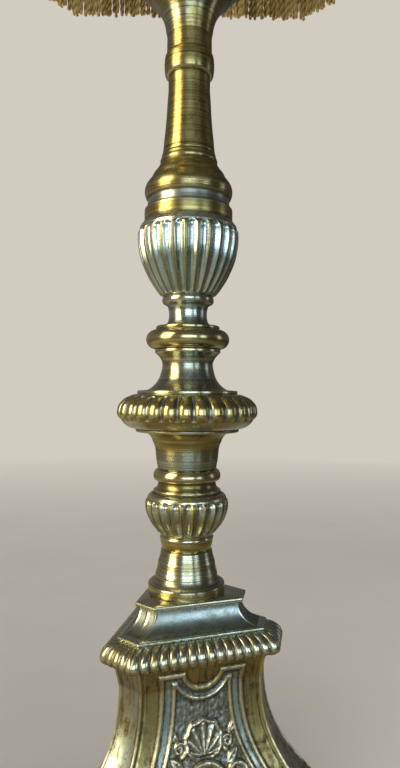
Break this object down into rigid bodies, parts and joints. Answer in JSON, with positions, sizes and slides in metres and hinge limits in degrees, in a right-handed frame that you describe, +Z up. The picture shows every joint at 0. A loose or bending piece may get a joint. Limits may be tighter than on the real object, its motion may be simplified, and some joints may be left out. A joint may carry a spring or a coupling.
{
  "type": "candlestick lamp",
  "caption": "Tall aged brass candlestick lamp: three-sided footed base, turned and lobed column, drip pan, candle sleeve, switched lampholder and a fringed fabric shade.",
  "frame": {"origin": "on the surface the feet stand on, under the column's axis", "axes": "+Z up along the column, -Y out of the base's front panel"},
  "size_m": [0.2842, 0.2842, 0.7871],
  "materials": {
    "cast_brass": "aged cast brass, dark in the hollows",
    "turned_brass": "aged turned brass with lathe lines",
    "holder_brass": "bright brass",
    "steel": "zinc plated",
    "black_bush": "black",
    "candle_sleeve": "ivory",
    "holder_insert": "dark moulded resin",
    "bulb_metal": "nickel plated",
    "bulb_glass": "clear",
    "filament": "amber coated",
    "frame_wire": "cream paint",
    "shade_silk": "slubbed silk",
    "shade_lining": "plain lining",
    "gimp_braid": "gold braid",
    "bullion_fringe": "twisted gold and cream cords"
  },
  "bodies": {
    "stand": {"base_body": "cast_brass", "base_cap": "cast_brass", "bell_foot": "turned_brass", "cable_bush": "black_bush", "candle_socket": "turned_brass", "candle_tube": "candle_sleeve", "centre_contact": "holder_brass", "collar": "turned_brass", "cup_ring": "turned_brass", "drip_pan": "turned_brass", "earth_screw": "steel", "earth_tag": "steel", "fluted_cup": "turned_brass", "foot_1": "cast_brass", "foot_2": "cast_brass", "foot_3": "cast_brass", "foot_screws": "steel", "gadroon_border": "cast_brass", "gadroon_disc": "turned_brass", "grub_screw": "steel", "holder_cap": "holder_brass", "holder_core": "holder_insert", "holder_shell": "holder_brass", "knop": "turned_brass", "lower_spool": "turned_brass", "pan_nut": "steel", "plinth": "cast_brass", "rod_nut": "steel", "rod_washer": "steel", "screw_shell": "holder_brass", "shoulder": "turned_brass", "small_bowl": "turned_brass", "stem": "turned_brass", "threaded_tube": "steel", "top_cup": "turned_brass", "torus_ring": "turned_brass", "upper_spool": "turned_brass", "waist": "turned_brass"},
    "switch_bar": {"switch_bar": "holder_brass"},
    "clamp_ring": {"clamp_ring": "holder_brass"},
    "bulb": {"bulb_tip": "bulb_metal", "bulb_insulator": "holder_insert", "bulb_cap": "bulb_metal", "bulb_glass": "bulb_glass", "bulb_stem": "bulb_glass", "filaments": "filament"},
    "carrier": {"carrier_foot": "holder_brass", "carrier_arms": "holder_brass", "carrier_ring": "holder_brass"},
    "shade": {"frame_lower_rim": "frame_wire", "frame_upper_rim": "frame_wire", "frame_ribs": "frame_wire", "gallery_ring": "frame_wire", "gallery_arms": "frame_wire", "shade_cover": "shade_silk", "shade_lining": "shade_lining", "braid_upper": "gimp_braid", "braid_lower": "gimp_braid", "fringe": "bullion_fringe"}
  },
  "joints": [
    {"name": "switch_push", "type": "slide", "parent": "stand", "child": "switch_bar", "axis": [1, 0, 0], "range_m": [0, 0.004]},
    {"name": "clamp_ring_turn", "type": "hinge", "parent": "stand", "child": "clamp_ring", "pos_m": [0, 0, 0.6201], "axis": [0, 0, 1], "range_deg": [0, 720]},
    {"name": "bulb_lift", "type": "slide", "parent": "stand", "child": "bulb", "axis": [0, 0, 1], "range_m": [0, 0.12]},
    {"name": "carrier_turn", "type": "hinge", "parent": "stand", "child": "carrier", "pos_m": [0, 0, 0.6201], "axis": [0, 0, 1], "continuous": true},
    {"name": "shade_lift", "type": "slide", "parent": "carrier", "child": "shade", "axis": [0, 0, 1], "range_m": [0, 0.25]}
  ]
}
